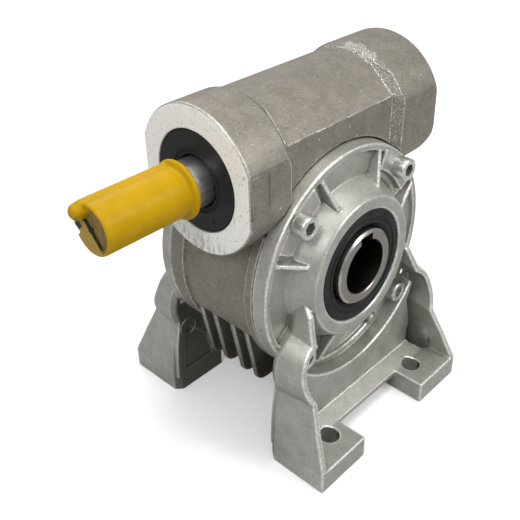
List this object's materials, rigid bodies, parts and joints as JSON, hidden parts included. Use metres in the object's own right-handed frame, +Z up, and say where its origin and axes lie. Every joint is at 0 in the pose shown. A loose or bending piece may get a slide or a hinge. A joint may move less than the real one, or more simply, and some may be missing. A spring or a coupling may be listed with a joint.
{
  "type": "worm gear reducer",
  "caption": "Right-angle worm gear reducer with a hollow output shaft, ribbed side covers cast with feet, and a capped input shaft.",
  "frame": {"origin": "centre of the hollow output shaft, midway between the two foot covers", "axes": "+Z up from the feet; +Y along the output axis, from the cover that the picture shows to the hidden one; +X along the worm, from the capped input end to the closed end"},
  "size_m": [0.1728, 0.1238, 0.1622],
  "materials": {
    "cast_aluminium": "satin, as cast",
    "zinc_screws": "zinc plated",
    "bearing_steel": "ground",
    "seal_rubber": "matte",
    "spring_steel": "phosphated",
    "ground_steel": "ground",
    "hub_steel": "machined",
    "yellow_plastic": "soft, satin",
    "bronze": "machined"
  },
  "bodies": {
    "case": {"housing": "cast_aluminium", "foot_cover_front": "cast_aluminium", "foot_cover_rear": "cast_aluminium", "cover_screws_front": "zinc_screws", "cover_screws_rear": "zinc_screws", "output_bearing_front": "bearing_steel", "output_bearing_rear": "bearing_steel", "worm_bearing_front": "bearing_steel", "worm_bearing_rear": "bearing_steel", "output_seal_front": "seal_rubber", "output_seal_rear": "seal_rubber", "worm_seal": "seal_rubber", "rear_closing_cap": "seal_rubber", "retaining_ring_front": "spring_steel", "retaining_ring_rear": "spring_steel"},
    "output": {"output_shaft": "hub_steel", "wheel_rim": "bronze"},
    "worm": {"worm_shaft": "ground_steel", "input_key": "ground_steel"},
    "transport_cap": {"shaft_cap": "yellow_plastic"}
  },
  "joints": [
    {"name": "output_spin", "type": "hinge", "parent": "case", "child": "output", "pos_m": [0, 0, 0], "axis": [0, 1, 0], "continuous": true},
    {"name": "worm_spin", "type": "hinge", "parent": "case", "child": "worm", "pos_m": [0, 0, 0.0495], "axis": [1, 0, 0], "continuous": true},
    {"name": "cap_pull", "type": "slide", "parent": "worm", "child": "transport_cap", "axis": [-1, 0, 0], "range_m": [0, 0.045]}
  ],
  "couplings": [
    {"joint": "worm_spin", "follows": "output_spin", "ratio": -28}
  ]
}
